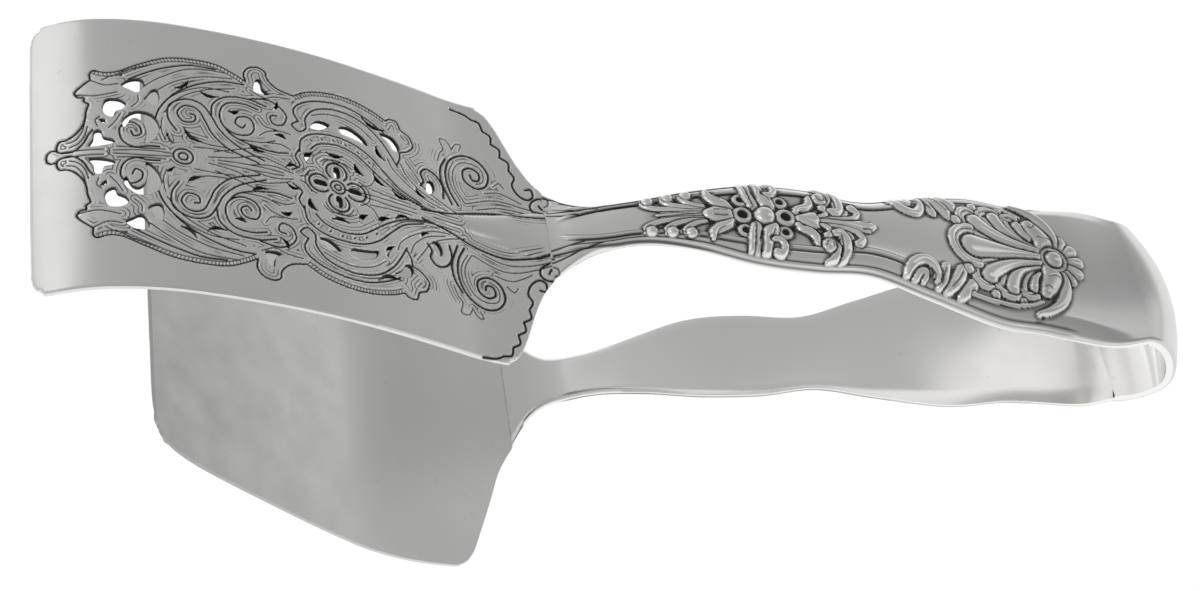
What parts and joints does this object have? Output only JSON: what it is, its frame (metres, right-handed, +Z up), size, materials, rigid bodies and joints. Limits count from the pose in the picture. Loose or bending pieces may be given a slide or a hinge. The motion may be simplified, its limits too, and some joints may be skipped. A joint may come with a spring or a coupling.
{
  "type": "asparagus tongs",
  "caption": "Sprung silver asparagus tongs: a pierced and engraved upper plate over a wider plain lower plate, on shell-pattern handles joined by a U-shaped bow.",
  "frame": {"origin": "on the table plane, under the middle of the overall box", "axes": "+X towards the closed end with the bow, -X towards the plates, +Y across the tongs, +Z up; the tongs lie open on the lower arm"},
  "size_m": [0.189, 0.0776, 0.0713],
  "materials": {
    "bow": "polished silver with fine wear marks",
    "handle": "die-struck silver, polished high points and dark oxidised recesses",
    "pierced_plate": "engraved silver, oxidised in the cuts",
    "plain_plate": "polished silver with fine scratches"
  },
  "bodies": {
    "lower_arm": {"lower_handle": "handle", "lower_blade": "plain_plate", "bow_spring": "bow"},
    "upper_arm": {"upper_handle": "handle", "upper_blade": "pierced_plate"}
  },
  "joints": [
    {"name": "squeeze", "type": "hinge", "parent": "lower_arm", "child": "upper_arm", "pos_m": [0.08539, 0, 0.00966], "axis": [0, -1, 0], "range_deg": [0, 5.5], "stiffness_Nm_per_rad": 12, "springref_deg": -0.57, "deforming": ["bow_spring"]}
  ]
}
